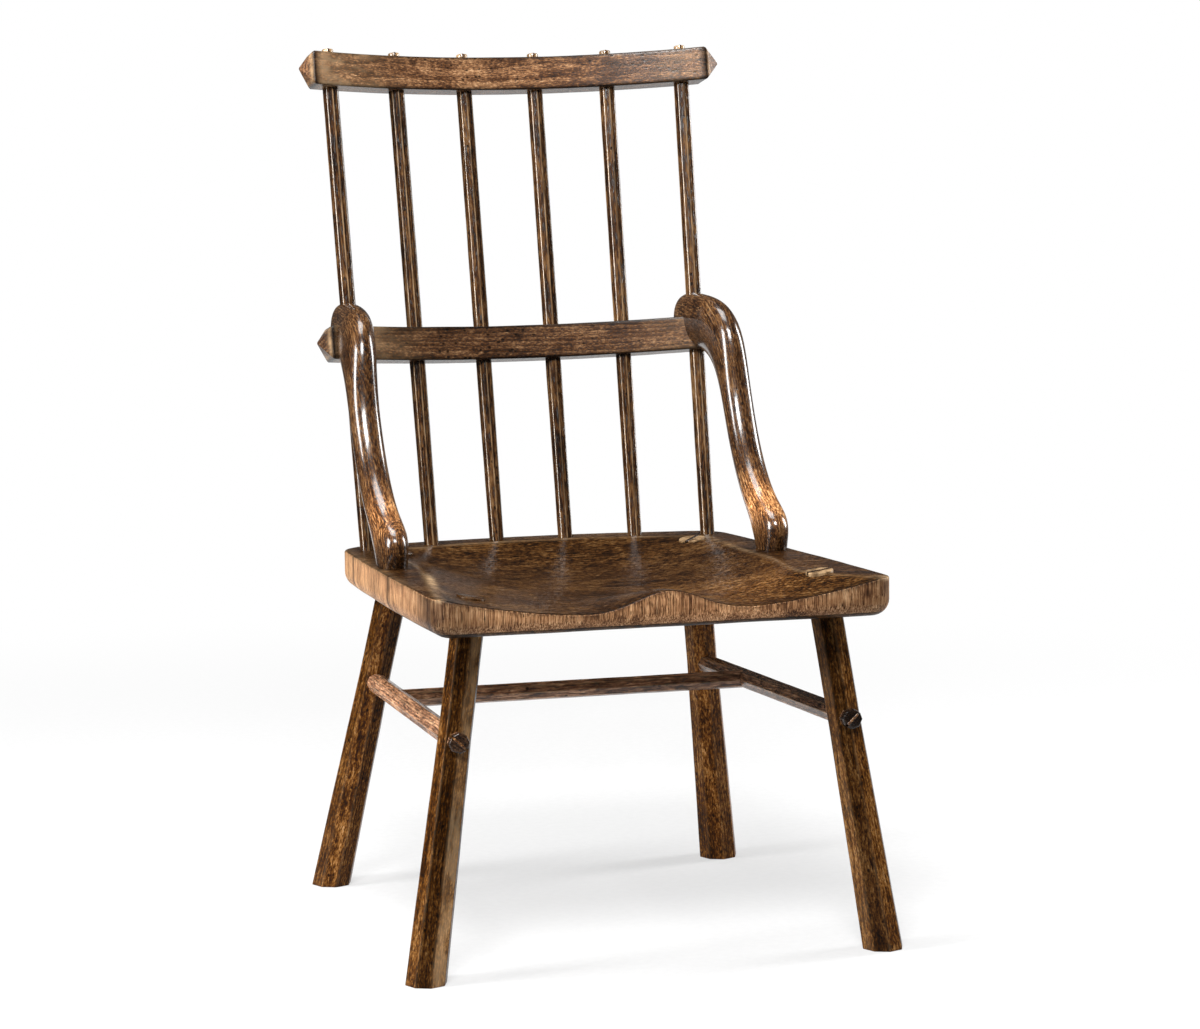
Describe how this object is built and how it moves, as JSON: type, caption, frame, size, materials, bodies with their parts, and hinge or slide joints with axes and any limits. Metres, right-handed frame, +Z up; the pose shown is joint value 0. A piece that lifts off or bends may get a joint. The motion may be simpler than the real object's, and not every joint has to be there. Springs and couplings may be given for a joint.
{
  "type": "plank seat side chair",
  "caption": "Wooden chair with a carved saddle plank seat, splayed octagonal legs joined by stretchers, a raked spindle back with curved rails, and low swept arms.",
  "frame": {"origin": "on the floor, at the centre of the chair's box in plan", "axes": "+Z up; the sitter faces -Y, so the back is at +Y; +X is the right side seen from the front"},
  "size_m": [0.6246, 0.732, 1.075],
  "materials": {
    "seat_wood": "dark walnut stain under satin lacquer, distressed, grain from side to side",
    "leg_wood": "dark walnut stain under satin lacquer, open pores, worn arrises",
    "stretcher_wood": "dark walnut stain under satin lacquer, open pores",
    "arm_wood": "dark walnut stain, rubbed to a higher gloss",
    "spindle_wood": "dark walnut stain under satin lacquer, worn arrises",
    "rail_wood": "dark walnut stain under satin lacquer, arched grain, lighter end grain",
    "wedge_wood": "near-black stain on end grain"
  },
  "bodies": {
    "root": {"seat": "seat_wood", "leg_front_left": "leg_wood", "leg_wedge_front_left": "wedge_wood", "stretcher_wedge_front_left": "wedge_wood", "leg_front_right": "leg_wood", "leg_wedge_front_right": "wedge_wood", "stretcher_wedge_front_right": "wedge_wood", "leg_rear_left": "leg_wood", "leg_wedge_rear_left": "wedge_wood", "stretcher_wedge_rear_left": "wedge_wood", "leg_rear_right": "leg_wood", "leg_wedge_rear_right": "wedge_wood", "stretcher_wedge_rear_right": "wedge_wood", "side_stretcher_left": "stretcher_wood", "arm_left": "arm_wood", "spindle_left_1": "spindle_wood", "spindle_wedge_left_1": "wedge_wood", "spindle_left_2": "spindle_wood", "spindle_wedge_left_2": "wedge_wood", "spindle_left_3": "spindle_wood", "spindle_wedge_left_3": "wedge_wood", "side_stretcher_right": "stretcher_wood", "arm_right": "arm_wood", "spindle_right_1": "spindle_wood", "spindle_wedge_right_1": "wedge_wood", "spindle_right_2": "spindle_wood", "spindle_wedge_right_2": "wedge_wood", "spindle_right_3": "spindle_wood", "spindle_wedge_right_3": "wedge_wood", "medial_stretcher": "stretcher_wood", "arm_rail": "rail_wood", "crest_rail": "rail_wood"}
  },
  "joints": []
}
